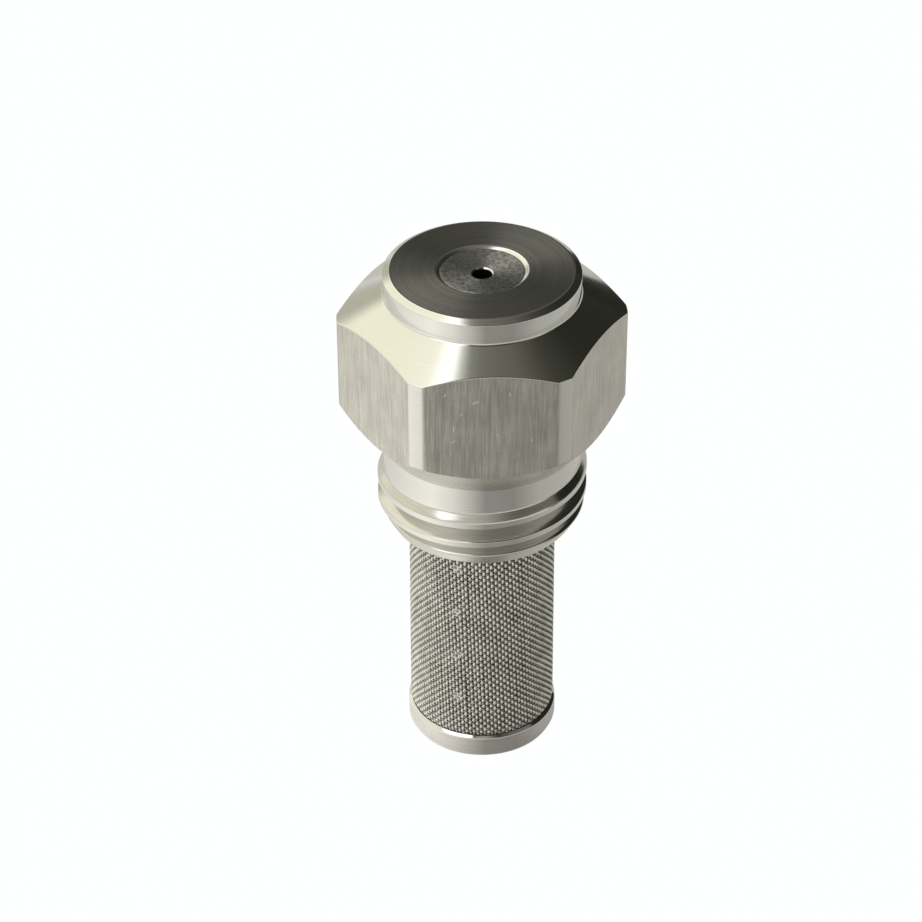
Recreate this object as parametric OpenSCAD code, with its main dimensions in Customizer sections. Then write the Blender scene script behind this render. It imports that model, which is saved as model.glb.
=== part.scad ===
// Oil burner nozzle: a pressure-swirl nozzle with a screwed-in strainer.
// All sizes are in millimetres. The origin is the centre of the end cap's bottom face, and +Z runs up
// the axis to the orifice. One flat of the hexagon faces -Y. Oil enters through the mesh, rises inside
// the strainer and through the retaining plug, and leaves by the slots in the swirl distributor.

/* [Overall] */
// Height from the end cap's bottom face to the front face
total_h = 36.5; // [36.3:0.1:38]
// Segments of a turned surface
facets = 96; // [48:24:192]

/* [Nozzle head] */
// Width of the hexagon across its flats
hex_af = 16.8; // [16.6:0.1:17.2]
// Diameter that the hexagon's corners are turned down to
corner_d = 18.84; // [18.2:0.02:19.1]
// Diameter of the round boss at the front
boss_d = 12.84; // [12.4:0.02:13.2]
// Width of the chamfer round the front face
front_chamfer_w = 0.44; // [0.2:0.01:0.6]
// Height of the chamfer round the front face
front_chamfer_h = 0.25; // [0.15:0.01:0.4]
// Height of the boss above the cone
boss_h = 1.62; // [1.2:0.01:1.9]
// Radius of the fillet at the foot of the boss
boss_fillet = 0.45; // [0.2:0.01:0.6]
// Slope of the cone above the hexagon, in degrees
cone_angle = 30.3; // [28:0.1:32]
// Distance from the front face to the lower end of the hexagon's corners
corner_drop = 9.72; // [9.4:0.01:10]
// Slope of the chamfer under the hexagon, in degrees
under_angle = 37; // [30:1:42]
// Diameter where that chamfer meets the sealing cone
seal_d = 16.6; // [16:0.1:16.6]
// Distance from the front face to the neck's upper end
neck_drop = 12.75; // [12.6:0.01:13]
// Diameter of the neck
neck_d = 13.14; // [12.9:0.02:13.3]
// Height of the raised band at the top of the neck
neck_band_h = 0.42; // [0.3:0.01:0.6]
// Step between the raised band and the rest of the neck
neck_band_step = 0.03; // [0.01:0.01:0.06]

/* [Outer thread] */
// Major diameter of the thread that screws into the burner's nozzle holder
thread_d = 14; // [14:0.01:14]
// Pitch of that thread
thread_pitch = 1.5; // [1.5:0.01:1.5]
// Distance from the front face to the first crest, on the -Y side
crest_drop = 15.3; // [15.2:0.01:15.4]
// Distance from the front face to the body's rear face
rear_drop = 18.85; // [18.6:0.01:19]
// Diameter of the rear face
rear_face_d = 12.4; // [12.2:0.02:12.8]
// Slope of the lead chamfer at the rear, in degrees
rear_angle = 61; // [50:1:65]
// Axial height of the rounded shoulder that leads from the neck to the first crest
shoulder_h = 0.58; // [0.4:0.01:0.7]

/* [Orifice] */
// Diameter of the countersunk edge round the orifice disc
recess_d = 6.02; // [5.6:0.02:6.4]
// Diameter of the hole that the disc's nose fills
nose_hole_d = 5.5; // [5.2:0.02:5.56]
// Depth of the disc's rim below the front face
nose_depth = 0.14; // [0.08:0.01:0.2]
// Depth of the disc's dished centre below the front face
dish_depth = 0.3; // [0.24:0.01:0.4]
// Diameter of the outlet counterbore
outlet_d = 1.35; // [1.1:0.01:1.6]
// Diameter of the spray orifice
orifice_d = 0.5; // [0.3:0.01:0.7]

/* [Inner bores] */
// Diameter of the chamber that holds the disc, the distributor and the plug
chamber_d = 9; // [8.9:0.05:9.1]
// Thickness of the wall in front of the chamber
front_wall = 2.2; // [2.1:0.05:2.4]
// Diameter of the rear bore that the strainer screws into
rear_bore_d = 11.1; // [11.1:0.01:11.2]
// Height of the washer's seat above the bottom
seat_z = 23; // [22.9:0.05:23.1]

/* [Strainer] */
// Diameter of the woven sleeve at the cap
mesh_d = 10; // [9.96:0.01:10.02]
// Diameter of the woven sleeve where it enters the body
mesh_top_d = 9.86; // [9.8:0.01:9.9]
// Thickness of the woven cloth, crossing wires with their waves
mesh_t = 0.24; // [0.2:0.01:0.26]
// Thickness of the finer second turn of cloth inside the first
lining_t = 0.18; // [0.14:0.01:0.2]
// Diameter of the end cap
cap_d = 10.24; // [10.2:0.01:10.4]
// Height of the end cap
cap_h = 1.78; // [1.6:0.01:2]
// Spot welds along the seam
weld_count = 4; // [3:1:4]
// Distance between spot welds
weld_pitch = 3.65; // [3.4:0.05:3.8]

/* [Hidden] */

eps = 0.01;
running_gap = 0.03;
seat_gap = 0.03;
fit_gap = 0.02;
press_gap = 0.01;
thread_gap = 0.05;

// Head, from the front face down
hex_half = hex_af / 2;
corner_r = corner_d / 2;
boss_r = boss_d / 2;
front_r = boss_r - front_chamfer_w;
cone_start_z = total_h - boss_h;
corner_top_z = cone_start_z - (corner_r - boss_r) * tan(cone_angle);
corner_low_z = total_h - corner_drop;
seal_r = seal_d / 2;
seal_top_z = corner_low_z - (corner_r - seal_r) * tan(under_angle);
neck_r = neck_d / 2;
neck_z = total_h - neck_drop;
rear_z = total_h - rear_drop;
hex_stock_h = 30;

// Form of the 60 degree threads: depth, and half of the crest's width, as shares of the pitch
thread_form = 0.6134;
crest_form = 1 / 16;
flank_angle = 30;

// Outer thread
thread_r = thread_d / 2;
thread_depth = thread_form * thread_pitch;
root_r = thread_r - thread_depth;
crest_half = crest_form * thread_pitch;
crest_stock = 0.03;
crest_sink = 0.1;
crest_z = total_h - crest_drop;
fade_in = [-250, -180];
fade_out = [150, 240];
neck_plain_h = 0.9;
neck_low_z = neck_z - neck_plain_h;
neck_overlap = 0.2;
thread_step = thread_pitch / 12;
thread_facets = 72;
rear_edge = 0.25;

// Orifice disc and distributor
nose_hole_r = nose_hole_d / 2;
chamber_r = chamber_d / 2;
chamber_top_z = total_h - front_wall;
disc_flange_h = 1.9;
disc_back_z = chamber_top_z - disc_flange_h;
disc_cone_r = 3.2;
swirl_r = 0.5;
swirl_z = disc_back_z + disc_cone_r - swirl_r;
orifice_l = 0.3;
outlet_z = swirl_z + orifice_l;
outlet_sink = 0.08;
dist_cone_r = 3.1;
dist_tip_r = 0.9;
dist_collar_r = 4.1;
collar_gap = 0.35;
dist_collar_z = disc_back_z - collar_gap;
dist_low_z = 28.95;
dist_edge = 0.3;
dist_foot_r = 1.5;
dist_foot_h = 0.5;
dist_slots = 4;
slot_w = 0.5;
slot_sink = 0.35;
slot_drop = 0.45;
slot_r = 0.55;
slot_l = 4.6;
dist_grooves = 6;
groove_r = 0.65;

// Retaining plug
plug_pitch = 0.75;
plug_crest_r = chamber_r - thread_gap;
plug_low_z = 24.9;
plug_thread_h = 2.8;
plug_nose_r = 2.7;
plug_facets = 48;
plug_key = 4;
key_depth = 1.8;
plug_bore_r = 1.3;
plug_roof = 0.35;
plug_ports = 4;
port_r = 0.42;
port_rise = 0.45;

// Strainer
adapter_pitch = 1;
adapter_crest_r = rear_bore_d / 2 - thread_gap;
adapter_facets = 60;
washer_t = 0.5;
washer_bore_r = 3.8;
washer_play = 0.1;
adapter_top_z = seat_z - washer_t;
adapter_thread_z = 19.9;
spigot_r = mesh_top_d / 2 - mesh_t - fit_gap;
spigot_z = 17.95;
oil_bore_r = 2.2;
oil_funnel_wall = 0.5;
oil_funnel_h = 1.4;
band_rise = 0.15;
band_h = 1.6;
band_t = 0.3;
band_edge_w = 0.1;
band_edge_h = 0.15;
mesh_low_z = 0.62;
mesh_top_z = 19.85;
lining_gap = 0.05;
cap_r = cap_d / 2;
cap_floor = 0.6;
cap_edge = 0.18;
cap_low_edge = 0.36;
weld_r = 0.32;
weld_z = 4.95;
weld_proud = 0.03;
weld_root = 0.06;
seam_angle = -114.7;
ring_w = 0.5;
ring_h = 1.8;
ring_edge = 0.2;

// Points of an arc, for rounding a corner of a turned outline
function arc(cx, cy, r, a0, a1, n) =
    [for (i = [0 : n]) let (a = a0 + (a1 - a0) * i / n) [cx + r * cos(a), cy + r * sin(a)]];

// 0 before a, 1 after b, straight between them
function ramp(x, a, b) = max(0, min(1, (x - a) / (b - a)));

// A solid whose radius at angle a from the -Y side and at height z is at(a, z), in rings of m points
module turned_field(at, z0, z1, step, m) {
    n = ceil((z1 - z0) / step);
    points = [for (i = [0 : n], j = [0 : m - 1])
        let (a = 360 * j / m - 180, z = z0 + (z1 - z0) * i / n, r = at(a, z))
        [r * sin(a), -r * cos(a), z]];
    walls = [for (i = [0 : n - 1], j = [0 : m - 1], half = [0, 1])
        let (k = (j + 1) % m, low = i * m, high = low + m)
        half == 0 ? [low + j, high + j, high + k] : [low + j, high + k, low + k]];
    low_face = [for (j = [0 : m - 1]) j];
    high_face = [for (j = [m - 1 : -1 : 0]) n * m + j];
    polyhedron(points, concat([low_face], walls, [high_face]), convexity = 10);
}

// Radius of the outer thread on the strand that passes angle a: the helix rises to the right. Below
// its lead-in the groove has its full depth, and above the first strand the neck's radius fills it.
function outer_strand(a, z) =
    let (u = z - crest_z - thread_pitch * a / 360,
         crest = thread_r + crest_stock
             - (thread_r - neck_r + crest_sink) * ramp(a, fade_out[0], fade_out[1]),
         lead = ramp(a, fade_in[0], fade_in[1]),
         fill = root_r + (neck_r - running_gap - root_r) * lead,
         rise = thread_depth * tan(flank_angle) * (1 - lead) + shoulder_h * lead)
    u > 0 ? max(fill, crest - (crest - fill) * max(0, u - crest_half) / rise)
           : crest - max(0, -u - crest_half) / tan(flank_angle);

function outer_radius(a, z) =
    let (lead_r = rear_face_d / 2 + (z - rear_z) / tan(rear_angle),
         strands = [for (turn = [-3 : 0]) outer_strand(a + 360 * turn, z)])
    min(lead_r, max(root_r, max(strands)));

// Radius of a plain male thread with chamfered ends
function male_radius(a, z, crest, pitch, z0, z1) =
    let (root = crest - thread_form * pitch,
         p = (z - z0) / pitch - a / 360,
         u = abs(p - round(p)) * pitch,
         end_r = root + min(z - z0, z1 - z))
    max(root, min(end_r, crest - max(0, u - crest_form * pitch) / tan(flank_angle)));

// The turned outline of the body, before the hexagon and the bores are cut
module body_blank() {
    cx = boss_r + boss_fillet;
    cy = cone_start_z + boss_fillet * tan((90 - cone_angle) / 2);
    rotate_extrude($fn = facets)
    polygon(concat(
        [[0, neck_low_z], [neck_r, neck_low_z],
         [neck_r, neck_z - neck_band_h], [neck_r + neck_band_step, neck_z - neck_band_h],
         [neck_r + neck_band_step, neck_z], [seal_r, seal_top_z],
         [corner_r, corner_low_z], [corner_r, corner_top_z]],
        arc(cx, cy, boss_fillet, 270 - cone_angle, 180, 6),
        [[boss_r, total_h - front_chamfer_h], [front_r, total_h], [0, total_h]]
    ));
}

// The thread is cut a little oversize and its crests are turned down to a true cylinder
module outer_thread() {
    intersection() {
        turned_field(function (a, z) outer_radius(a, z), rear_z,
            neck_low_z + neck_overlap, thread_step, thread_facets);
        translate([0, 0, rear_z - 1])
        cylinder(d = thread_d, h = neck_low_z - rear_z + 2, $fn = facets);
    }
}

module nozzle_body() {
    color([0.72, 0.71, 0.69])
    difference() {
        union() {
            intersection() {
                body_blank();
                translate([0, 0, total_h - hex_stock_h])
                cylinder(r = hex_half / cos(30), h = hex_stock_h, $fn = 6);
            }
            outer_thread();
        }
        translate([0, 0, rear_z - 1])
        cylinder(d = rear_bore_d, h = seat_z - rear_z + 1, $fn = facets);
        translate([0, 0, seat_z - 1])
        cylinder(d = chamber_d, h = chamber_top_z - seat_z + 1, $fn = facets);
        translate([0, 0, chamber_top_z - 1])
        cylinder(d = nose_hole_d, h = front_wall + 2, $fn = facets);
        translate([0, 0, total_h - nose_depth])
        cylinder(d1 = nose_hole_d, d2 = recess_d, h = nose_depth, $fn = facets);
        translate([0, 0, rear_z - eps])
        cylinder(d1 = rear_bore_d + 2 * rear_edge, d2 = rear_bore_d, h = rear_edge, $fn = facets);
    }
}

module orifice_disc() {
    nose_r = nose_hole_r - press_gap;
    flange_r = chamber_r - fit_gap;
    color([0.36, 0.35, 0.33])
    rotate_extrude($fn = facets)
    polygon([[disc_cone_r, disc_back_z], [flange_r, disc_back_z], [flange_r, chamber_top_z],
             [nose_r, chamber_top_z], [nose_r, total_h - nose_depth],
             [outlet_d / 2 + outlet_sink, total_h - dish_depth],
             [outlet_d / 2, total_h - dish_depth - outlet_sink], [outlet_d / 2, outlet_z],
             [orifice_d / 2, outlet_z], [orifice_d / 2, swirl_z], [swirl_r, swirl_z]]);
}

module swirl_distributor() {
    cone_gap = seat_gap * sqrt(2);
    tip_z = swirl_z - (dist_tip_r - swirl_r) - cone_gap;
    cone_low_z = tip_z - (dist_cone_r - dist_tip_r);
    color([0.7, 0.69, 0.66])
    difference() {
        rotate_extrude($fn = facets)
        polygon([[0, dist_low_z], [dist_collar_r - dist_edge, dist_low_z],
                 [dist_collar_r, dist_low_z + dist_edge], [dist_collar_r, dist_collar_z - dist_edge],
                 [dist_collar_r - dist_edge, dist_collar_z], [dist_cone_r, dist_collar_z],
                 [dist_cone_r, cone_low_z], [dist_tip_r, tip_z], [0, tip_z]]);
        for (k = [0 : dist_slots - 1])
            rotate([0, 0, 360 * k / dist_slots])
            translate([slot_r, 0, tip_z - slot_drop])
            rotate([0, 45, 0])
            translate([-slot_sink, -slot_w / 2, 0])
            cube([slot_l, slot_w, 2 * dist_tip_r]);
        for (k = [0 : dist_grooves - 1])
            rotate([0, 0, 360 * k / dist_grooves])
            translate([dist_collar_r, 0, dist_low_z - 1])
            cylinder(r = groove_r, h = dist_collar_z - dist_low_z + 2, $fn = 32);
        translate([0, 0, dist_low_z - 1])
        cylinder(r = dist_foot_r, h = dist_foot_h + 1, $fn = 48);
    }
}

module retaining_plug() {
    nose_top_z = dist_low_z - running_gap;
    thread_top_z = plug_low_z + plug_thread_h;
    color([0.66, 0.65, 0.62])
    difference() {
        union() {
            translate([0, 0, plug_low_z])
            cylinder(r = plug_nose_r, h = nose_top_z - plug_low_z, $fn = facets);
            turned_field(function (a, z)
                male_radius(a, z, plug_crest_r, plug_pitch, plug_low_z, thread_top_z),
                plug_low_z, thread_top_z, plug_pitch / 8, plug_facets);
        }
        translate([0, 0, plug_low_z - 1])
        cylinder(d = plug_key / cos(30), h = key_depth + 1, $fn = 6);
        translate([0, 0, plug_low_z])
        cylinder(r = plug_bore_r, h = nose_top_z - plug_low_z - plug_roof, $fn = 48);
        for (k = [0 : plug_ports - 1])
            rotate([0, 0, 45 + 360 * k / plug_ports])
            translate([0, 0, thread_top_z + port_rise])
            rotate([0, 90, 0])
            cylinder(r = port_r, h = plug_nose_r + 1, $fn = 24);
    }
}

module sealing_washer() {
    color([0.93, 0.93, 0.9])
    translate([0, 0, adapter_top_z])
    difference() {
        cylinder(r = adapter_crest_r - washer_play, h = washer_t, $fn = facets);
        translate([0, 0, -1])
        cylinder(r = washer_bore_r, h = washer_t + 2, $fn = facets);
    }
}

module strainer_adapter() {
    color([0.7, 0.69, 0.67])
    difference() {
        union() {
            translate([0, 0, spigot_z])
            cylinder(r = spigot_r, h = adapter_thread_z - spigot_z + eps, $fn = facets);
            turned_field(function (a, z)
                male_radius(a, z, adapter_crest_r, adapter_pitch, adapter_thread_z, adapter_top_z),
                adapter_thread_z, adapter_top_z, adapter_pitch / 10, adapter_facets);
        }
        translate([0, 0, spigot_z - 1])
        cylinder(r = oil_bore_r, h = adapter_top_z - spigot_z + 2, $fn = facets);
        translate([0, 0, spigot_z - eps])
        cylinder(r1 = spigot_r - oil_funnel_wall, r2 = oil_bore_r, h = oil_funnel_h, $fn = facets);
    }
}

module crimp_band() {
    band_z = spigot_z + band_rise;
    inner_r = mesh_top_d / 2 + fit_gap;
    outer_r = inner_r + band_t;
    color([0.75, 0.74, 0.72])
    rotate_extrude($fn = facets)
    polygon([[inner_r, band_z], [outer_r - band_edge_w, band_z], [outer_r, band_z + band_edge_h],
             [outer_r, band_z + band_h - band_edge_h], [outer_r - band_edge_w, band_z + band_h],
             [inner_r, band_z + band_h]]);
}

// Outer radius of the sleeve at height z, straight inside the cap and tapered above it
function cloth_r(z) =
    mesh_d / 2 - (mesh_d - mesh_top_d) / 2 * max(z - cap_h, 0) / (mesh_top_z - cap_h);

// One spot weld, a short radial slug through the outer turn of cloth
module weld_slug(z) {
    rotate([0, 0, seam_angle])
    translate([cloth_r(z) + weld_proud - mesh_t - weld_root, 0, z])
    rotate([0, 90, 0])
    cylinder(r = weld_r, h = mesh_t + weld_root, $fn = 24);
}

module welds() {
    for (k = [0 : weld_count - 1])
        weld_slug(weld_z + k * weld_pitch);
}

// The second turn of cloth stands between the clamp ring and the adapter's spigot
module filter_mesh() {
    lining_low = mesh_low_z + ring_h + lining_gap;
    lining_high = spigot_z - lining_gap;
    high_r = cloth_r(lining_high) - mesh_t;
    low_r = cloth_r(lining_low) - mesh_t;
    color([0.6, 0.6, 0.56])
    difference() {
        rotate_extrude($fn = facets)
        polygon([[mesh_d / 2 - mesh_t, mesh_low_z], [mesh_d / 2, mesh_low_z],
                 [mesh_d / 2, cap_h], [mesh_top_d / 2, mesh_top_z], [mesh_top_d / 2 - mesh_t, mesh_top_z],
                 [high_r, lining_high], [high_r - lining_t, lining_high],
                 [low_r - lining_t, lining_low], [low_r, lining_low], [mesh_d / 2 - mesh_t, cap_h]]);
        welds();
    }
}

module seam_spot_welds() {
    color([0.78, 0.77, 0.74])
    welds();
}

module clamp_ring() {
    ring_r = mesh_d / 2 - mesh_t - press_gap;
    ring_top_z = mesh_low_z + ring_h;
    color([0.7, 0.69, 0.67])
    rotate_extrude($fn = facets)
    polygon([[ring_r - ring_w, mesh_low_z], [ring_r, mesh_low_z], [ring_r, ring_top_z - ring_edge],
             [ring_r - ring_edge, ring_top_z], [ring_r - ring_w, ring_top_z]]);
}

module end_cap() {
    cup_r = mesh_d / 2 + press_gap;
    color([0.74, 0.73, 0.71])
    rotate_extrude($fn = facets)
    polygon([[0, 0], [cap_r - cap_edge, 0], [cap_r, cap_low_edge], [cap_r, cap_h - cap_edge],
             [cup_r, cap_h], [cup_r, cap_floor], [0, cap_floor]]);
}

nozzle_body();
orifice_disc();
swirl_distributor();
retaining_plug();
sealing_washer();
strainer_adapter();
crimp_band();
filter_mesh();
seam_spot_welds();
clamp_ring();
end_cap();
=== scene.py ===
import math

import bmesh
import bpy
import numpy as np
from mathutils import Matrix, Vector


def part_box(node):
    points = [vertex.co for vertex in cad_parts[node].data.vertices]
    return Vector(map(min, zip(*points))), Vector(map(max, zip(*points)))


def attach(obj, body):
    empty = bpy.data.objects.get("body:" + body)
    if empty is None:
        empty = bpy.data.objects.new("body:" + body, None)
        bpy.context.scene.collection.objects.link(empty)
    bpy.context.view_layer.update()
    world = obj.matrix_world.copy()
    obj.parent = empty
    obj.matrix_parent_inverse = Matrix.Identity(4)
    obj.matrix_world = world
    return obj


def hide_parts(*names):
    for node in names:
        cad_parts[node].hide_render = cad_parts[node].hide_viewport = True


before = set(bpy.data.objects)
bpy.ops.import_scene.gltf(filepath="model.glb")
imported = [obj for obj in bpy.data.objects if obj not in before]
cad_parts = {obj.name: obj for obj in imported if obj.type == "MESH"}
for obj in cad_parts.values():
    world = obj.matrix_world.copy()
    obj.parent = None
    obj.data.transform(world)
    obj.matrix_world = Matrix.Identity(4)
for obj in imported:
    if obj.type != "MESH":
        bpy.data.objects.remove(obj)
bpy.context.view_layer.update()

# Oil burner nozzle, visual model. Shapes are worked out in millimetres in the row frame (Z up the axis,
# one flat of the hexagon facing -Y) and written in metres.
MM = 0.001
rng = np.random.default_rng(7)

# ------------------------------------------------------------------ sizes, from the frame
top_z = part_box("nozzle_body")[1].z / MM
rear_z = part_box("nozzle_body")[0].z / MM
hex_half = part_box("nozzle_body")[1].y / MM
cap_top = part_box("end_cap")[1].z / MM
cap_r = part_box("end_cap")[1].x / MM
mesh_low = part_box("filter_mesh")[0].z / MM
mesh_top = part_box("filter_mesh")[1].z / MM
mesh_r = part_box("filter_mesh")[1].x / MM

corner_r = 9.417
boss_r, boss_h, boss_fillet = 6.42, 1.62, 0.2
front_r, front_chamfer_h = 5.98, 0.25
cone_slope, under_slope = math.tan(math.radians(30.3)), math.tan(math.radians(37))
corner_low = top_z - 9.72
seal_r, neck_r, band_step, band_h = 8.3, 6.57, 0.03, 0.42
neck_top = top_z - 12.75
neck_low = neck_top - 0.9
crest_r, pitch = 7.0, 1.5
thread_depth = 0.6134 * pitch
root_r = crest_r - thread_depth
crest_z, crest_flat = top_z - 15.3, 0.34
rear_r, rear_slope = 6.2, math.tan(math.radians(61))
shoulder_h = 0.58
rear_bore, seat_z, chamber_r = 5.55, 23.0, 4.5
chamber_top = top_z - 2.2
nose_hole, recess_r, nose_depth = 2.75, 3.01, 0.14


# ------------------------------------------------------------------ mesh helpers
def make_object(name, points, faces, body, mats, face_mats=None, replaced=(), smooth=True):
    """One mesh object from points in millimetres, merged where points meet, riding on a body."""
    mesh = bpy.data.meshes.new(name)
    mesh.from_pydata([tuple(p) for p in np.asarray(points, float) * MM], [], faces)
    for m in mats:
        mesh.materials.append(m)
    if face_mats is not None:
        mesh.polygons.foreach_set("material_index", np.asarray(face_mats, np.int32))
    bm = bmesh.new()
    bm.from_mesh(mesh)
    bmesh.ops.remove_doubles(bm, verts=bm.verts, dist=1e-7)
    bmesh.ops.dissolve_degenerate(bm, edges=bm.edges, dist=1e-8)
    bmesh.ops.recalc_face_normals(bm, faces=bm.faces)
    for f in bm.faces:
        f.smooth = smooth
    bm.to_mesh(mesh)
    bm.free()
    obj = bpy.data.objects.new(name, mesh)
    bpy.context.scene.collection.objects.link(obj)
    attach(obj, body)
    if replaced:
        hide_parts(*replaced)
    return obj


def rounded_path(corners, radii, parts, arc=4, support=0.06):
    """Points along a polyline with rounded corners. corners is (C, 2) or (C, N, 2) for N columns at once;
    radii is each corner's tangent length; parts is each segment's number of inner parts.
    Returns the points (rows, N, 2) and the segment that each gap between rows belongs to."""
    c = np.asarray(corners, float)
    if c.ndim == 2:
        c = c[:, None, :]
    count = c.shape[0]
    rows, owner = [], []
    starts, ends = [c[0]], []
    arcs = []
    for k in range(1, count - 1):
        back, ahead = c[k - 1] - c[k], c[k + 1] - c[k]
        lb = np.linalg.norm(back, axis=-1, keepdims=True)
        la = np.linalg.norm(ahead, axis=-1, keepdims=True)
        t = np.minimum(radii[k], 0.45 * np.minimum(lb, la))
        p0, p1 = c[k] + back / lb * t, c[k] + ahead / la * t
        u = np.linspace(0, 1, arc + 1)[:, None, None]
        arcs.append((1 - u) ** 2 * p0 + 2 * u * (1 - u) * c[k] + u ** 2 * p1)
        ends.append(p0)
        starts.append(p1)
    ends.append(c[-1])
    for k in range(count - 1):
        a, b = starts[k], ends[k]
        length = np.linalg.norm(b - a, axis=-1, keepdims=True)
        s = np.minimum(support / np.maximum(length, 1e-9), 0.2)
        inner = [a] if k == 0 else []
        inner.append(a + (b - a) * s)
        for i in range(1, parts[k]):
            inner.append(a + (b - a) * (s + (1 - 2 * s) * i / parts[k]))
        inner.append(a + (b - a) * (1 - s) if k < count - 2 else b)
        for p in inner:
            if rows:
                owner.append(k)
            rows.append(p)
        if k < count - 2:
            for q in arcs[k]:
                owner.append(k if q is arcs[k][0] else k + 0.5)
                rows.append(q)
    return np.array(rows), owner


def revolve(rows, angles):
    """Cartesian points (rows, columns, 3) of a profile (rows, N or 1, 2) at angles from -Y, in radians."""
    r = np.broadcast_to(rows[..., 0], (rows.shape[0], len(angles)))
    z = np.broadcast_to(rows[..., 1], (rows.shape[0], len(angles)))
    return np.stack([r * np.sin(angles), -r * np.cos(angles), z], -1)


def ring_faces(first, rows, cols, down=True):
    """Quads between successive rings of cols points."""
    faces = []
    for i in range(rows - 1):
        for j in range(cols):
            k = (j + 1) % cols
            a, b = first + i * cols, first + (i + 1) * cols
            faces.append((a + j, b + j, b + k, a + k) if down else (a + j, a + k, b + k, b + j))
    return faces


# ------------------------------------------------------------------ nozzle body
def soft_min(a, b, k):
    h = np.clip(k - np.abs(a - b), 0, None) / k
    return np.minimum(a, b) - h * h * k / 4


def soft_max(a, b, k):
    return -soft_min(-a, -b, k)


def ramp(x, a, b):
    return np.clip((x - a) / (b - a), 0, 1)


def column_angles(flat_cols=54, strip_cols=6):
    """Azimuths of the body's columns, lined up with the borders of the corner strips."""
    edge = math.degrees(math.acos(hex_half / corner_r))
    out = []
    for k in range(-3, 3):
        mid = 60 * k
        strip = np.linspace(mid + edge, mid + 60 - edge, strip_cols + 1)[:-1]
        body = np.linspace(mid + 60 - edge, mid + 60 + edge, flat_cols + 1)[:-1]
        out.append(strip)
        out.append(body)
    a = np.concatenate(out)
    a = np.sort((a + 180) % 360 - 180)
    return np.radians(a)


def hex_radius(a):
    fold = np.abs((a + math.pi / 6) % (math.pi / 3) - math.pi / 6)
    return hex_half / np.cos(fold)


def strand(a, z):
    u = z - crest_z - pitch * a / 360
    lead = ramp(a, -250, -180)
    crest = crest_r + 0.03 - (crest_r - neck_r + 0.1) * ramp(a, 150, 240)
    fill = root_r + (neck_r - root_r) * lead
    rise = thread_depth * math.tan(math.radians(30)) * (1 - lead) + shoulder_h * lead
    half = crest_flat / 2
    above = soft_max(fill, crest - (crest - fill) * np.clip(u - half, 0, None) / rise, 0.06)
    below = crest - np.clip(-u - half, 0, None) / math.tan(math.radians(30))
    return np.where(u > 0, above, below)


def thread_radius(a, z):
    """Radius of the threaded end at azimuth a in degrees and height z."""
    strands = [strand(a + 360 * t, z) for t in range(-3, 1)]
    strands.append(np.where(a < -120, strand(a + 360, z), 0))
    best = strands[0]
    for s in strands[1:]:
        best = np.maximum(best, s)
    best = soft_max(best, root_r + 0 * best, 0.12)
    best = soft_min(best, crest_r + 0 * best, 0.1)
    lead_r = rear_r + (z - rear_z) / rear_slope
    best = soft_min(best, lead_r, 0.05)
    over = np.clip(best - neck_r, 0, None) * (1 - ramp(z, neck_low - 0.3, neck_low))
    return np.where(z >= neck_low - 1e-9, neck_r, np.minimum(best, neck_r) + over)


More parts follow.
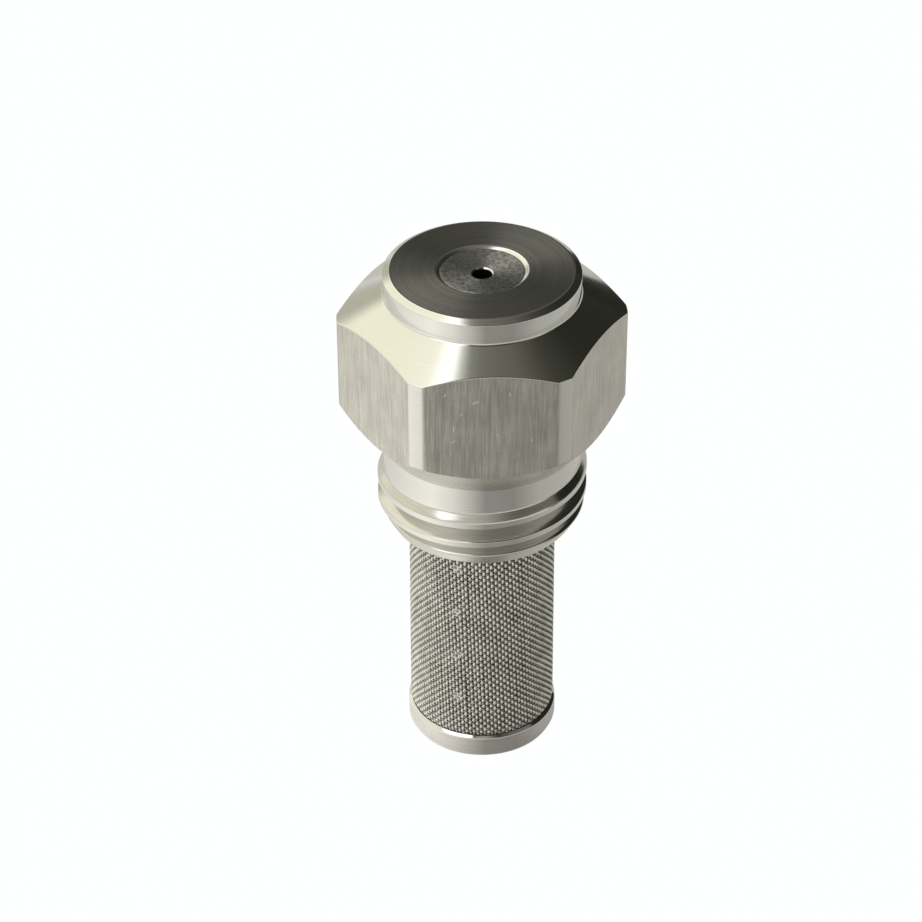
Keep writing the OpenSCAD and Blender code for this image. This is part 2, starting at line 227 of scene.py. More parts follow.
def build_body():
    angles = column_angles()
    cols = len(angles)
    deg = np.degrees(angles)
    outer = soft_min(np.full(cols, corner_r), hex_radius(angles), 0.03)
    one = np.ones(cols)
    cone_top = top_z - boss_h

    def at(r, z):
        return np.stack([r * one, z * one], -1)

    corners = np.array([
        at(recess_r, top_z), at(front_r, top_z), at(boss_r, top_z - front_chamfer_h), at(boss_r, cone_top),
        at(outer, cone_top - (outer - boss_r) * cone_slope),
        at(outer, corner_low - (corner_r - outer) * under_slope),
        at(seal_r, corner_low - (corner_r - seal_r) * under_slope),
        at(neck_r + band_step, neck_top), at(neck_r + band_step, neck_top - band_h),
        at(neck_r, neck_top - band_h - 0.02), at(neck_r, neck_low)])
    radii = [0, 0.035, 0.04, boss_fillet * math.tan(math.radians(29.85)), 0.05, 0.06, 0.05, 0.05, 0.008, 0.01, 0]
    parts = [5, 1, 2, 8, 10, 2, 3, 2, 1, 2]
    rows, owner = rounded_path(corners, radii, parts)
    points = list(revolve(rows, angles).reshape(-1, 3))
    faces = ring_faces(0, len(rows), cols)
    # 0 face, 1 boss and cone, 2 flats, 3 neck, 4 thread, 5 bores, 6 underside, 7 thread crest
    region = {0: 0, 0.5: 1, 1: 1, 1.5: 1, 2: 3, 2.5: 3, 3: 1, 3.5: 1, 4: 2, 4.5: 2, 5: 6, 5.5: 6, 6: 6,
              6.5: 3, 7: 3, 7.5: 3, 8: 3, 8.5: 3, 9: 3}
    fold = np.abs((deg + 0.5 * 360 / cols + 30) % 60 - 30)
    strip = fold > math.degrees(math.acos(hex_half / corner_r))
    mats = [1 if o == 4 and strip[j] else region[o] for o in owner for j in range(cols)]

    # the threaded end: rows follow the helix, so they meet themselves one pitch lower after a turn
    per = np.array([0, 0.03, 0.06, 0.08, 0.095, 0.108, 0.12, 0.132, 0.145, 0.16, 0.18, 0.22, 0.28, 0.34, 0.39, 0.425,
                    0.445, 0.465, 0.5, 0.535, 0.555, 0.575, 0.61, 0.66, 0.72, 0.78, 0.82, 0.84, 0.855, 0.868, 0.88,
                    0.892, 0.905, 0.92, 0.94, 0.97])
    k, top_level = len(per), 1.65
    levels = np.concatenate([turn - per for turn in (2, 1, 0, -1, -2)])
    levels = levels[levels < top_level][:-1]
    m = len(levels)
    shoulder_level = (crest_flat / 2 + shoulder_h) / pitch - 0.02
    z = crest_z + pitch * deg[None, :] / 360 + pitch * levels[:, None]
    z = np.clip(z, rear_z, neck_low)
    r = thread_radius(np.broadcast_to(deg, z.shape), z)
    first = len(points)
    points += list(np.stack([r * np.sin(angles), -r * np.cos(angles), z], -1).reshape(-1, 3))
    for i in range(m - 1):
        for j in range(cols):
            if j < cols - 1:
                n0, n1 = first + i * cols + j + 1, first + (i + 1) * cols + j + 1
            else:
                n0 = first + max(i - k, 0) * cols
                n1 = first + max(i + 1 - k, 0) * cols
            a, b = first + i * cols + j, first + (i + 1) * cols + j
            if n0 == n1:
                continue
            faces.append((a, b, n1, n0))
            radii_here = (r[i, j], r[i + 1, j])
            on_neck = levels[i + 1] > shoulder_level and max(radii_here) < neck_r + 0.02
            mats.append(3 if on_neck else 7 if min(radii_here) > crest_r - 0.03 else 4)

    # rear face, bores and the inside, up to the countersunk edge of the orifice disc
    low_r = thread_radius(deg, np.full(cols, rear_z))
    inner = np.array([
        np.stack([low_r, rear_z * one], -1), at(rear_bore + 0.25, rear_z), at(rear_bore, rear_z + 0.25),
        at(rear_bore, seat_z), at(chamber_r, seat_z), at(chamber_r, chamber_top), at(nose_hole, chamber_top),
        at(nose_hole, top_z - nose_depth), at(recess_r, top_z)])
    rows2, owner2 = rounded_path(inner, [0, 0.03, 0.03, 0.03, 0.04, 0.05, 0.03, 0.01, 0], [1, 1, 4, 1, 6, 1, 2, 2],
                                 arc=3)
    first = len(points)
    points += list(revolve(rows2, angles).reshape(-1, 3))
    faces += ring_faces(first, len(rows2), cols)
    mats += [5 if o < 7 else 1 for o in owner2 for _ in range(cols)]
    return points, faces, mats


# ------------------------------------------------------------------ materials
def node_material(name):
    m = bpy.data.materials.new(name)
    m.use_nodes = True
    t = m.node_tree
    t.nodes.clear()
    out = t.nodes.new("ShaderNodeOutputMaterial")
    bsdf = t.nodes.new("ShaderNodeBsdfPrincipled")
    t.links.new(bsdf.outputs["BSDF"], out.inputs["Surface"])
    bsdf.inputs["Metallic"].default_value = 1.0
    return m, t, bsdf


class Nodes:
    """Short calls for building a node tree."""

    def __init__(self, tree):
        self.t = tree
        self.coords = tree.nodes.new("ShaderNodeTexCoord").outputs["Object"]

    def math(self, op, a, b=None, c=None, clamp=False):
        n = self.t.nodes.new("ShaderNodeMath")
        n.operation, n.use_clamp = op, clamp
        for socket, value in zip(n.inputs, (a, b, c)):
            if value is None:
                continue
            if isinstance(value, (int, float)):
                socket.default_value = value
            else:
                self.t.links.new(value, socket)
        return n.outputs[0]

    def xyz(self, vector=None):
        n = self.t.nodes.new("ShaderNodeSeparateXYZ")
        self.t.links.new(vector or self.coords, n.inputs[0])
        return n.outputs

    def combine(self, x, y, z):
        n = self.t.nodes.new("ShaderNodeCombineXYZ")
        for socket, value in zip(n.inputs, (x, y, z)):
            if isinstance(value, (int, float)):
                socket.default_value = value
            else:
                self.t.links.new(value, socket)
        return n.outputs[0]

    def noise(self, vector, scale, detail=2.0, rough=0.5):
        n = self.t.nodes.new("ShaderNodeTexNoise")
        self.t.links.new(vector, n.inputs["Vector"])
        n.inputs["Scale"].default_value = scale
        n.inputs["Detail"].default_value = detail
        n.inputs["Roughness"].default_value = rough
        return n.outputs["Fac"]

    def spread(self, value, low, high, to_low=0.0, to_high=1.0, smooth=True):
        n = self.t.nodes.new("ShaderNodeMapRange")
        n.interpolation_type = "SMOOTHSTEP" if smooth else "LINEAR"
        self.t.links.new(value, n.inputs["Value"])
        n.inputs["From Min"].default_value, n.inputs["From Max"].default_value = low, high
        n.inputs["To Min"].default_value, n.inputs["To Max"].default_value = to_low, to_high
        return n.outputs["Result"]

    def mix(self, fac, a, b):
        n = self.t.nodes.new("ShaderNodeMix")
        n.data_type = "RGBA"
        for socket, value in ((n.inputs[0], fac), (n.inputs[6], a), (n.inputs[7], b)):
            if isinstance(value, (tuple, list)):
                socket.default_value = (*value, 1.0)
            elif isinstance(value, (int, float)):
                socket.default_value = value
            else:
                self.t.links.new(value, socket)
        return n.outputs[2]

    def bump(self, bsdf, height, strength, distance):
        n = self.t.nodes.new("ShaderNodeBump")
        n.inputs["Strength"].default_value = strength
        n.inputs["Distance"].default_value = distance
        self.t.links.new(height, n.inputs["Height"])
        self.t.links.new(n.outputs["Normal"], bsdf.inputs["Normal"])

    def tangent(self, bsdf, aniso, rotation=0.0):
        n = self.t.nodes.new("ShaderNodeTangent")
        n.direction_type, n.axis = "RADIAL", "Z"
        self.t.links.new(n.outputs[0], bsdf.inputs["Tangent"])
        bsdf.inputs["Anisotropic"].default_value = aniso
        bsdf.inputs["Anisotropic Rotation"].default_value = rotation


def turned(name, dark, light, rough, rough_var, aniso, ring_mm=0.05, bump=0.1, mottled=0.0, blotch_mm=1.1):
    """Turned metal: fine rings round the axis, from noise of the distance from the axis and of height."""
    m, t, bsdf = node_material(name)
    n = Nodes(t)
    x, y, z = n.xyz()
    radius = n.math("SQRT", n.math("ADD", n.math("MULTIPLY", x, x), n.math("MULTIPLY", y, y)))
    rings = n.noise(n.combine(radius, z, 0.0), 1 / (ring_mm * MM), 3.0, 0.6)
    blotch = n.noise(n.coords, 1 / (blotch_mm * MM), 4.0, 0.6)
    fac = n.math("ADD", n.math("MULTIPLY", rings, 1 - mottled), n.math("MULTIPLY", blotch, mottled))
    t.links.new(n.mix(n.spread(fac, 0.3, 0.7), dark, light), bsdf.inputs["Base Color"])
    t.links.new(n.spread(fac, 0.25, 0.75, rough - rough_var, rough + rough_var), bsdf.inputs["Roughness"])
    n.tangent(bsdf, aniso, 0.25)
    n.bump(bsdf, fac, bump, 0.004 * MM)
    return m


FLAT_DARK, FLAT_LIGHT, NICK_BRIGHT = (0.50, 0.485, 0.445), (0.74, 0.725, 0.67), (0.9, 0.89, 0.87)
# nicks on the front flat: x and z of the middle, half length and half width in mm, angle in degrees
NICKS = [(-1.0, 31.9, 0.30, 0.09, 20), (-2.36, 29.9, 0.22, 0.05, 80), (-2.4, 29.0, 0.2, 0.06, 15),
         (-2.9, 32.5, 0.16, 0.06, 60), (1.2, 32.4, 0.14, 0.05, 100), (-1.9, 31.0, 0.12, 0.05, 70),
         (2.6, 28.9, 0.12, 0.04, 85), (0.4, 29.4, 0.10, 0.04, 95)]


def ground(name):
    """Ground flats: fine streaks up the flat, with a few nicks on the front one."""
    m, t, bsdf = node_material(name)
    n = Nodes(t)
    x, y, z = n.xyz()
    fine = n.noise(n.combine(x, y, n.math("MULTIPLY", z, 0.04)), 11000.0, 4.0, 0.6)
    coarse = n.noise(n.combine(x, y, n.math("MULTIPLY", z, 0.09)), 3000.0, 2.0, 0.5)
    patch = n.noise(n.coords, 500.0, 3.0, 0.5)
    streak = n.math("ADD", n.math("MULTIPLY", fine, 0.7), n.math("MULTIPLY", coarse, 0.3))
    both = n.math("ADD", n.math("MULTIPLY", streak, 0.75), n.math("MULTIPLY", patch, 0.25))
    nicks = None
    front = n.math("LESS_THAN", y, -8.2 * MM)
    for at_x, at_z, long, wide, angle in NICKS:
        c, sn = math.cos(math.radians(angle)), math.sin(math.radians(angle))
        u, v = n.math("SUBTRACT", x, at_x * MM), n.math("SUBTRACT", z, at_z * MM)
        along = n.math("DIVIDE", n.math("ADD", n.math("MULTIPLY", u, c), n.math("MULTIPLY", v, sn)), long * MM)
        sideways = n.math("SUBTRACT", n.math("MULTIPLY", v, c), n.math("MULTIPLY", u, sn))
        across = n.math("DIVIDE", sideways, wide * MM)
        dist = n.math("ADD", n.math("MULTIPLY", along, along), n.math("MULTIPLY", across, across))
        one = n.spread(dist, 1.0, 0.3)
        nicks = one if nicks is None else n.math("MAXIMUM", nicks, one)
    nicks = n.math("MULTIPLY", nicks, front)
    base = n.mix(n.spread(both, 0.34, 0.66), FLAT_DARK, FLAT_LIGHT)
    t.links.new(n.mix(n.math("MULTIPLY", nicks, 0.6), base, NICK_BRIGHT), bsdf.inputs["Base Color"])
    t.links.new(n.spread(both, 0.3, 0.7, 0.22, 0.30), bsdf.inputs["Roughness"])
    n.tangent(bsdf, 0.8, 0.0)
    height = n.math("SUBTRACT", n.math("MULTIPLY", streak, 0.3), nicks)
    n.bump(bsdf, height, 0.7, 0.02 * MM)
    return m


mat_face = turned("face_turned", (0.34, 0.34, 0.31), (0.44, 0.44, 0.40), 0.28, 0.02, 0.93, 0.04, 0.05)
mat_cone = turned("cone_polished", (0.72, 0.72, 0.68), (0.78, 0.78, 0.73), 0.12, 0.015, 0.5, 0.04, 0.04)
mat_flat = ground("flats_ground")
mat_neck = turned("neck_polished", (0.76, 0.76, 0.73), (0.84, 0.84, 0.81), 0.05, 0.01, 0.2, 0.05, 0.02)
mat_crest = turned("crest_polished", (0.76, 0.76, 0.73), (0.84, 0.84, 0.81), 0.02, 0.005, 0.0, 0.05, 0.01)
mat_thread = turned("thread_satin", (0.62, 0.61, 0.57), (0.74, 0.73, 0.69), 0.16, 0.03, 0.4, 0.06, 0.06)
mat_bore = turned("bore_steel", (0.42, 0.41, 0.39), (0.55, 0.54, 0.51), 0.3, 0.05, 0.4, 0.08, 0.2)
mat_disc = turned("disc_turned", (0.34, 0.34, 0.32), (0.66, 0.66, 0.62), 0.32, 0.07, 0.8, 0.07, 0.4, 0.75, 0.24)
# near-black colour: painted shade inside the orifice's bore and outlet dish
mat_hole_painted_shade = turned("hole_bore_painted_shade", (0.02, 0.02, 0.018), (0.05, 0.05, 0.045), 0.45, 0.05, 0.3, 0.07, 0.2)
mat_under = turned("underside_satin", (0.56, 0.555, 0.52), (0.68, 0.67, 0.63), 0.26, 0.04, 0.5, 0.06, 0.1)
mat_cap = turned("cap_satin", (0.62, 0.60, 0.58), (0.78, 0.76, 0.74), 0.28, 0.05, 0.5, 0.06, 0.15, 0.3)
mat_wire = turned("mesh_wire", (0.72, 0.715, 0.67), (0.9, 0.89, 0.85), 0.2, 0.05, 0.0, 0.3, 0.05, 0.8)
# the wefts are the same steel wire as the warps, coloured much darker: painted shade for the dimmer light the
# round-going wires catch
mat_weft_painted_shade = turned("mesh_weft_painted_shade", (0.28, 0.28, 0.26), (0.42, 0.42, 0.39), 0.22, 0.05, 0.0, 0.3, 0.05, 0.8)
# the lining wire is coloured near-black: painted shade for the dark inside of the sleeve
mat_lining_painted_shade = turned("lining_wire", (0.18, 0.18, 0.165), (0.28, 0.28, 0.255), 0.3, 0.05, 0.0, 0.3, 0.05, 0.8)
mat_weld = turned("weld_pressed", (0.62, 0.61, 0.58), (0.80, 0.79, 0.76), 0.16, 0.05, 0.0, 0.1, 0.1, 0.8)
mat_inner = turned("turned_inner", (0.48, 0.47, 0.45), (0.64, 0.63, 0.60), 0.24, 0.05, 0.5, 0.07, 0.2)
mat_band = turned("band_strip", (0.62, 0.61, 0.58), (0.76, 0.75, 0.72), 0.2, 0.05, 0.3, 0.1, 0.1)


def washer_material():
    m, t, bsdf = node_material("washer_plastic")
    n = Nodes(t)
    bsdf.inputs["Metallic"].default_value = 0.0
    blotch = n.noise(n.coords, 1500.0, 3.0, 0.6)
    t.links.new(n.mix(n.spread(blotch, 0.3, 0.7), (0.80, 0.80, 0.77), (0.9, 0.9, 0.88)), bsdf.inputs["Base Color"])
    t.links.new(n.spread(blotch, 0.3, 0.7, 0.42, 0.55), bsdf.inputs["Roughness"])
    n.bump(bsdf, blotch, 0.2, 0.01 * MM)
    return m


mat_washer = washer_material()

# ------------------------------------------------------------------ body, disc and cap
points, faces, mats = build_body()
make_object("nozzle_body_fine", points, faces, "nozzle",
            [mat_face, mat_cone, mat_flat, mat_neck, mat_thread, mat_bore, mat_under, mat_crest], mats,
            ["nozzle_body"])


def lathe(name, corners, radii, parts, cols, body, mat, replaced=(), arc=4, support=0.05, bright=(),
          painted_shade_segments=()):
    """A closed turned piece from an outline that starts and ends on the axis or meets itself.
    The segments named in bright are polished; the segments in the last argument get a near-black colour, painted
    shade for the inside of a hole."""
    angles = np.radians(np.arange(cols) * 360 / cols - 180)
    closed = tuple(corners[0]) != (0, corners[0][1]) or tuple(corners[-1]) != (0, corners[-1][1])
    path = list(corners) + ([corners[0]] if closed else [])
    rad = list(radii) + ([0] if closed else [])
    rows, owner = rounded_path(np.array(path, float), rad, parts, arc, support)
    pts = revolve(rows, angles).reshape(-1, 3)
    which = [1 if o in bright else 2 if o in painted_shade_segments else 0 for o in owner for _ in range(cols)]
    mats = [mat] + [mat_neck] * bool(bright) + [mat_hole_painted_shade] * bool(painted_shade_segments)
    return make_object(name, pts, ring_faces(0, len(rows), cols), body, mats, which, replaced)


disc_top = top_z - nose_depth
dish_z = top_z - 0.3
disc_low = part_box("orifice_disc")[0].z / MM
outlet_r, orifice_r, orifice_h = 0.61, 0.25, 0.3
swirl_r, throat_r = 3.2, 0.5
outlet_z = disc_low + swirl_r - throat_r + orifice_h
# the orifice's bore and outlet dish are coloured near-black as painted shade; the countersink round them is polished
lathe("orifice_disc_fine",
      [(orifice_r, outlet_z), (orifice_r, outlet_z - orifice_h), (throat_r, outlet_z - orifice_h),
       (swirl_r, disc_low), (4.48, disc_low), (4.48, chamber_top), (2.74, chamber_top),
       (2.74, disc_top), (outlet_r + 0.11, dish_z),
       (outlet_r, dish_z - 0.11), (outlet_r, outlet_z)],
      [0, 0.02, 0.02, 0.05, 0.05, 0.05, 0.03, 0.03, 0.02, 0.03, 0.02], [1, 1, 3, 1, 2, 1, 2, 6, 1, 3, 1], 192,
      "nozzle", mat_disc, ["orifice_disc"], bright=(7.5, 8),
      painted_shade_segments=(0, 0.5, 8.5, 9, 9.5, 10))
lathe("end_cap_fine",
      [(0, 0), (cap_r - 0.18, 0), (cap_r, 0.36), (cap_r, cap_top - 0.2), (cap_r - 0.2, cap_top),
       (5.01, cap_top - 0.3),
       (5.01, 0.6), (0, 0.6)],
      [0, 0.06, 0.06, 0.04, 0.03, 0.03, 0.03, 0], [4, 1, 3, 1, 1, 2, 3], 240,
      "strainer", mat_cap, ["end_cap"], bright=(2.5, 3, 3.5))


# ------------------------------------------------------------------ woven sleeve
WARPS, WEFTS = 120, 75
# half thickness and half width of the flattened wires, and how far they wave in and out
warp_size, weft_size = (0.06, 0.102), (0.05, 0.068)
warp_wave, weft_wave = 0.065, 0.064
seam = math.radians(-24.7)
lap, lap_step, lap_fade = 0.8, 0.09, 0.9
lean = 0.045
# how far the wires stray from their even places, in mm
warp_wobble, warp_shift, warp_jitter = 0.012, 0.006, 0.02
weft_wobble, weft_shift = 0.008, 0.005
mesh_mid = [mesh_r - warp_size[0] - warp_wave - 0.002, mesh_r - 0.07 - warp_size[0] - warp_wave - 0.002]
tuck, tuck_h = 0.09, 0.3
weld_heights = [4.95 + 3.65 * i for i in range(4)]
LINING_WARPS, LINING_WEFTS = 130, 66
lining_wire, lining_wave = 0.045, 0.032
lining_in, lining_low, lining_high = 0.232, 2.5, 17.87


def cloth_radius(a, z):
    """Radius of the cloth's middle, with the pressed weld spots and the lifted cut edge."""
    t = np.clip((z - cap_top) / (mesh_top - cap_top), 0, 1)
    r = mesh_mid[0] + (mesh_mid[1] - mesh_mid[0]) * t
    away = ((a - seam + math.pi) % (2 * math.pi) - math.pi) * mesh_r
    past = away - lap
    r = r - lap_step * ramp(past, -0.08, 0.08) * np.exp(-np.clip(past, 0, None) / lap_fade)
    for h in weld_heights:
        d = np.sqrt(away ** 2 + (z - h) ** 2)
        r = r - 0.1 * np.exp(-(d / 0.34) ** 4)
    return r - tuck * ramp(z, cap_top + tuck_h, cap_top)


def tubes(paths, sides, radius, closed):
    """Points and faces of wires along paths (wires, points, 3) with frames from the axis.
    radius is the wire's half thickness and half width."""
    paths = np.asarray(paths)
    nxt = np.roll(paths, -1, 1) if closed else np.concatenate([paths[:, 1:], paths[:, -1:]], 1)
    prv = np.roll(paths, 1, 1) if closed else np.concatenate([paths[:, :1], paths[:, :-1]], 1)
    along = nxt - prv
    along /= np.linalg.norm(along, axis=-1, keepdims=True)
    outward = paths.copy()
    outward[..., 2] = 0
    outward /= np.linalg.norm(outward, axis=-1, keepdims=True)
    side = np.cross(along, outward)
    side /= np.linalg.norm(side, axis=-1, keepdims=True)
    up = np.cross(side, along)
    ring = np.arange(sides) * 2 * math.pi / sides
    shape = (paths[:, :, None, :] + radius[0] * np.cos(ring)[:, None] * up[:, :, None, :]
             + radius[1] * np.sin(ring)[:, None] * side[:, :, None, :])
    w, n = paths.shape[:2]
    pts = shape.reshape(-1, 3)
    i = np.arange(n if closed else n - 1)
    j = np.arange(sides)
    ii, jj = np.meshgrid(i, j, indexing="ij")
    ni, nj = (ii + 1) % n, (jj + 1) % sides
    quad = np.stack([ii * sides + jj, ii * sides + nj, ni * sides + nj, ni * sides + jj], -1).reshape(-1, 4)
    faces = (quad[None] + (np.arange(w) * n * sides)[:, None, None]).reshape(-1, 4)
    if not closed:
        caps = []
        for k in range(w):
            base = k * n * sides
            caps.append(list(range(base, base + sides))[::-1])
            caps.append(list(range(base + (n - 1) * sides, base + n * sides)))
        return pts, [tuple(f) for f in faces.tolist()] + [tuple(c) for c in caps]
    return pts, [tuple(f) for f in faces.tolist()]


def weave(wires, rows, low, high, wire, waves, fine, middle, slant):
    """Warps up the sleeve and wefts round it, in plain weave, with fine points to each crossing."""
    step = (high - low - 2 * wire) / (rows - 1)
    turn_step = 2 * math.pi / wires
    n = fine * (rows - 1) + 1
    zz = low + wire + np.arange(n) * step / fine
    warps = []
    for k in range(wires):
        wobble = warp_wobble * np.sin(zz * 0.9 + rng.uniform(0, 6.28)) + rng.normal(0, warp_shift)
        aa = seam + (k + 0.5) * turn_step + (wobble + slant * (low + high - 2 * zz) / 2) / mesh_r
        wave = waves[0] * (-1) ** k * np.cos(np.arange(n) * math.pi / fine)
        r = middle(aa, zz) + wave - rng.uniform(0, warp_jitter, n)
        warps.append(np.stack([r * np.sin(aa), -r * np.cos(aa), zz], -1))
    wefts = []
    c = fine * wires
    for k in range(rows):
        z0 = low + wire + k * step
        aa = seam + np.arange(c) * turn_step / fine + slant * (low + high - 2 * z0) / 2 / mesh_r
        wobble = (weft_wobble * np.sin(np.arange(c) * 3 * turn_step / fine + rng.uniform(0, 6.28))
                  + rng.normal(0, weft_shift))
        z = np.clip(z0 + wobble, low + wire, high - wire)
        r = middle(aa, z) - waves[1] * (-1) ** k * np.cos((np.arange(c) / fine - 0.5) * math.pi)
        wefts.append(np.stack([r * np.sin(aa), -r * np.cos(aa), z * np.ones(c)], -1))
    return warps, wefts


def lining_radius(a, z):
    t = np.clip((z - cap_top) / (mesh_top - cap_top), 0, 1)
    return mesh_mid[0] - lining_in + (mesh_mid[1] - mesh_mid[0]) * t


warps, wefts = weave(WARPS, WEFTS, mesh_low, mesh_top, weft_size[1], (warp_wave, weft_wave), 3, cloth_radius, lean)
half = WARPS // 2
for i, part in enumerate((warps[:half], warps[half:])):
    p, f = tubes(part, 6, warp_size, False)
    make_object(f"mesh_warps_{i}", p, f, "strainer", [mat_wire], None,
                ["filter_mesh"] if i == 0 else ())
# the wefts wear the darker wire colour, which is painted shade
half = WEFTS // 2
for i, part in enumerate((wefts[:half], wefts[half:])):
    p, f = tubes(part, 6, weft_size, True)
    make_object(f"mesh_wefts_{i}", p, f, "strainer", [mat_weft_painted_shade])
# a second, inner woven layer; its near-black colour is painted shade of the sleeve's inside
warps, wefts = weave(LINING_WARPS, LINING_WEFTS, lining_low, lining_high, lining_wire, (lining_wave, lining_wave), 2,
                     lining_radius, -lean)
p, f = tubes(warps, 4, (lining_wire, lining_wire), False)
make_object("lining_warps", p, f, "strainer", [mat_lining_painted_shade])
p, f = tubes(wefts, 4, (lining_wire, lining_wire), True)
make_object("lining_wefts", p, f, "strainer", [mat_lining_painted_shade])


def weld_spots():
    """Pressed spots: small lumpy dished plates that follow the sleeve."""
    pts, faces = [], []
    rings, around = 8, 40
    for h in weld_heights:
        base = len(pts)
        lobes = rng.uniform(0, 6.28, 3)
        lumps = rng.normal(0, 0.011, (rings + 1, around))
        for i in range(rings + 1):
            for j in range(around):
                t = 2 * math.pi * j / around
                edge = 0.42 * (1 + 0.16 * math.sin(2 * t + lobes[0]) + 0.12 * math.sin(3 * t + lobes[1])
                               + 0.08 * math.sin(5 * t + lobes[2]))
                rr = edge * i / rings
                a = seam + rr * math.cos(t) / mesh_r
                z = h + rr * math.sin(t)
                r = (mesh_mid[0] - 0.07 * (h - cap_top) / (mesh_top - cap_top) - 0.01
                     - 0.06 * (1 - (i / rings) ** 2))
                r += lumps[i, j] * (i > 0) - 0.02 * math.sin(6 * rr / edge + lobes[0])
                pts.append((r * math.sin(a), -r * math.cos(a), z))
        faces += [tuple(base + v for v in f) for f in ring_faces(0, rings + 1, around)]
    return pts, faces


p, f = weld_spots()
make_object("seam_spots_fine", p, f, "strainer", [mat_weld], None, ["seam_spot_welds"])

# the other solids keep their CAD shape
for node, mat in (("swirl_distributor", mat_inner), ("retaining_plug", mat_inner), ("sealing_washer", mat_washer),
                  ("strainer_adapter", mat_inner), ("crimp_band", mat_band), ("clamp_ring", mat_inner)):
    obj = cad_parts[node]
    obj.data.materials.clear()
    obj.data.materials.append(mat)

# ------------------------------------------------------------------ camera
lens_mm, sensor_mm = 117.549, 36.0
elev, roll, turn = math.radians(35.089), math.radians(-0.2365), math.radians(-3.14)
distance = 202.12 * MM
# slopes of the aim: how far to the right of the view's middle and below it the target lies
axis_x, axis_y = 0.006969, 0.008178
target = Vector((0, 0, (top_z - 17) * MM))
fwd = Vector((0, math.cos(elev), -math.sin(elev)))
up = Vector((0, math.sin(elev), math.cos(elev)))
right = Vector((1, 0, 0))
place = target - distance * (fwd + axis_x * right - axis_y * up).normalized()
cam_right = math.cos(roll) * right + math.sin(roll) * up
cam_up = -math.sin(roll) * right + math.cos(roll) * up
pose = Matrix((cam_right, cam_up, -fwd)).transposed().to_4x4()
pose.translation = place
cam_data = bpy.data.cameras.new("camera")
cam_data.sensor_width, cam_data.sensor_fit = sensor_mm, "HORIZONTAL"
cam_data.lens = lens_mm
cam_data.clip_start, cam_data.clip_end = 0.005, 20
cam = bpy.data.objects.new("camera", cam_data)
cam.matrix_world = Matrix.Rotation(turn, 4, "Z") @ pose
bpy.context.scene.collection.objects.link(cam)
bpy.context.scene.camera = cam
bpy.context.scene.view_settings.view_transform = "Standard"


# ------------------------------------------------------------------ studio
def emission_plane(name, size, z, build, camera, glossy):
    mesh = bpy.data.meshes.new(name)
    s = size / 2
    mesh.from_pydata([(-s, -s, z), (s, -s, z), (s, s, z), (-s, s, z)], [], [(0, 1, 2, 3)])
    m = bpy.data.materials.new(name)
    m.use_nodes = True
    m.node_tree.nodes.clear()
    out = m.node_tree.nodes.new("ShaderNodeOutputMaterial")
    em = m.node_tree.nodes.new("ShaderNodeEmission")
    m.node_tree.links.new(em.outputs[0], out.inputs["Surface"])
    build(Nodes(m.node_tree), em)
    mesh.materials.append(m)
    obj = bpy.data.objects.new(name, mesh)
    bpy.context.scene.collection.objects.link(obj)
    obj.visible_camera, obj.visible_glossy = camera, glossy
    obj.visible_diffuse, obj.visible_shadow, obj.visible_transmission = False, False, False
    return obj


def plain_white(n, em):
    em.inputs["Color"].default_value = (0.991, 1.0, 1.0, 1.0)
    em.inputs["Strength"].default_value = 1.0


# brightness of the pale table by azimuth from -Y in degrees, changing softly from the window's side
TABLE = [(-180, 0.6), (-130, 0.78), (-60, 1.05), (-35, 0.85), (0, 0.3), (30, 0.28), (60, 0.45), (150, 0.58),
         (180, 0.6)]
TABLE_TINT = (1.0, 0.98, 0.91, 1.0)


def ramp_node(n, value, stops, low, high):
    """Levels or colours along a value, from up to 32 (value, level) pairs."""
    node = n.t.nodes.new("ShaderNodeValToRGB")
    n.t.links.new(n.spread(value, low, high, 0, 1, False), node.inputs["Fac"])
    handles = node.color_ramp.elements
    while len(handles) < len(stops):
        handles.new(1.0)
    for handle, (at, level) in reversed(list(zip(handles, stops))):
        handle.position = (at - low) / (high - low)
        rgb = level if isinstance(level, tuple) else (level, level, level)
        handle.color = (*(c / 2 for c in rgb), 1)
    return node.outputs["Color"]


def floor_light(n, em):
    x, y, _ = n.xyz()
    azimuth = n.math("MULTIPLY", n.math("ARCTAN2", x, n.math("MULTIPLY", y, -1.0)), 180 / math.pi)
    level = ramp_node(n, azimuth, TABLE, -180, 180)
    t = n.t
    tint = t.nodes.new("ShaderNodeMix")
    tint.data_type, tint.blend_type = "RGBA", "MULTIPLY"
    tint.inputs[0].default_value = 1.0
    t.links.new(level, tint.inputs[6])
    tint.inputs[7].default_value = TABLE_TINT
    t.links.new(tint.outputs[2], em.inputs["Color"])
    em.inputs["Strength"].default_value = 2.0


# the table has no shadow on it, and lies low enough to leave room for the strainer as it is unscrewed
FLOOR_Z, GLOW_Z = -0.0075, -0.0001
emission_plane("floor", 6.0, FLOOR_Z, plain_white, True, False)
emission_plane("floor_glow", 2.0, GLOW_Z, floor_light, False, True)


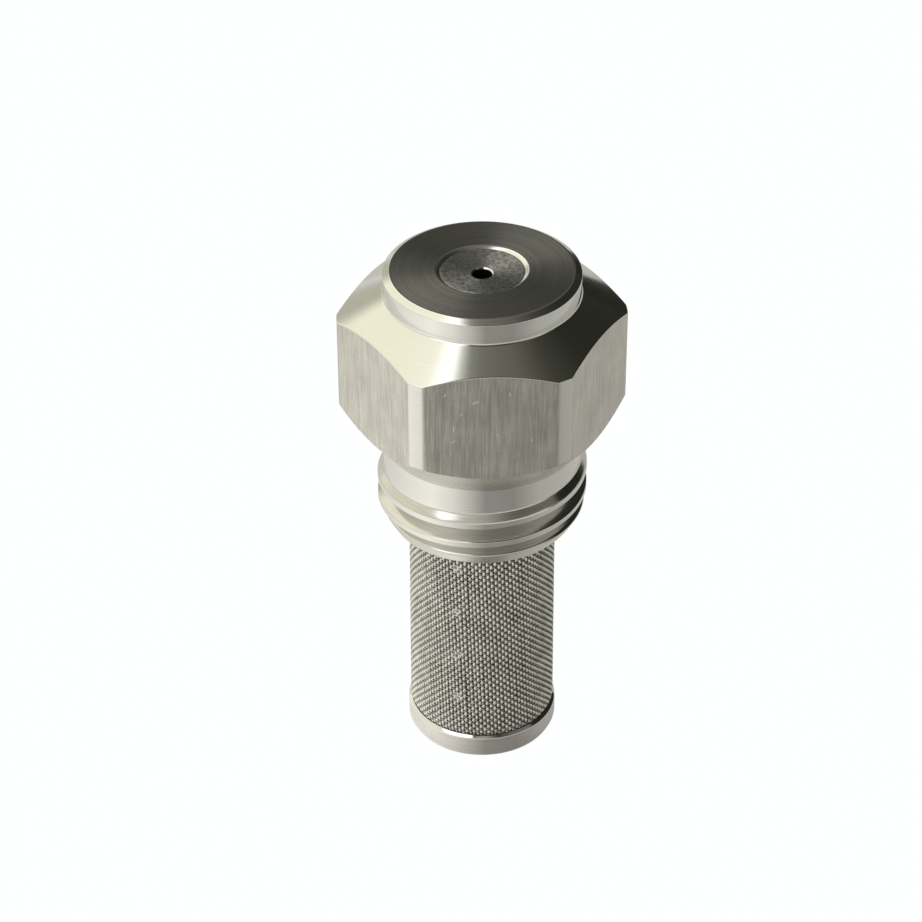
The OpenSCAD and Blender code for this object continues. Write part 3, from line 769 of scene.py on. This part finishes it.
# light of the room by the sideways part of the direction it comes from: a cream window on the left with a white
# edge, then ever darker to the right; and the same low in front, for the steep chamfers
WINDOW = [(-1.0, (0.85, 0.83, 0.7)), (-0.6, (1.12, 1.09, 0.9)), (-0.36, (1.18, 1.15, 0.97)),
          (-0.32, (1.3, 1.3, 1.2)), (-0.27, (1.6, 1.6, 1.55)), (-0.21, (1.5, 1.5, 1.45)),
          (-0.165, (0.7, 0.7, 0.66)), (-0.1, (0.27, 0.27, 0.25)),
          (0.0, (0.195, 0.195, 0.175)), (0.26, (0.14, 0.135, 0.115)), (0.44, (0.06, 0.06, 0.05)),
          (0.6, (0.026, 0.028, 0.02)), (1.0, (0.016, 0.018, 0.012))]
FRONT_WINDOW = [(-1.0, (0.8, 0.77, 0.68)), (-0.74, (0.9, 0.85, 0.76)), (-0.70, (1.6, 1.6, 1.6)),
                (-0.24, (1.6, 1.6, 1.6)), (-0.2, (0.06, 0.06, 0.05)), (0.3, (0.05, 0.05, 0.045)),
                (0.5, (0.14, 0.14, 0.12)),
                (1.0, (0.2, 0.2, 0.18))]
LOW_WINDOW = [(-1.0, (0.8, 0.77, 0.68)), (-0.6, (0.75, 0.72, 0.66)), (-0.2, (0.56, 0.54, 0.5)),
              (0.3, (0.2, 0.19, 0.17)), (0.6, (0.12, 0.115, 0.1)), (1.0, (0.1, 0.1, 0.09))]


HORIZON, BACK_DIM = (0.4, 0.38, 0.34), 0.52


def build_world():
    world = bpy.data.worlds.new("studio")
    bpy.context.scene.world = world
    world.use_nodes = True
    t = world.node_tree
    t.nodes.clear()
    out = t.nodes.new("ShaderNodeOutputWorld")
    bg = t.nodes.new("ShaderNodeBackground")
    t.links.new(bg.outputs[0], out.inputs["Surface"])
    n = Nodes(t)
    direction = t.nodes.new("ShaderNodeTexCoord").outputs["Generated"]
    dx, dy, dz = n.xyz(direction)
    overhead = ramp_node(n, dx, WINDOW, -1, 1)
    front = ramp_node(n, dx, FRONT_WINDOW, -1, 1)
    colour = n.mix(n.spread(dy, -0.12, -0.22), overhead, front)
    colour = n.mix(n.spread(dy, -0.61, -0.66), colour, ramp_node(n, dx, LOW_WINDOW, -1, 1))
    horizon = n.math("MULTIPLY", n.spread(dy, -0.3, -0.5), n.spread(dz, 0.4, 0.3))
    colour = n.mix(horizon, colour, HORIZON)
    dim = n.mix(BACK_DIM, colour, (0.0, 0.0, 0.0))
    colour = n.mix(n.spread(dy, 0.72, 0.86), colour, dim)
    t.links.new(colour, bg.inputs["Color"])
    bg.inputs["Strength"].default_value = 2.0


build_world()
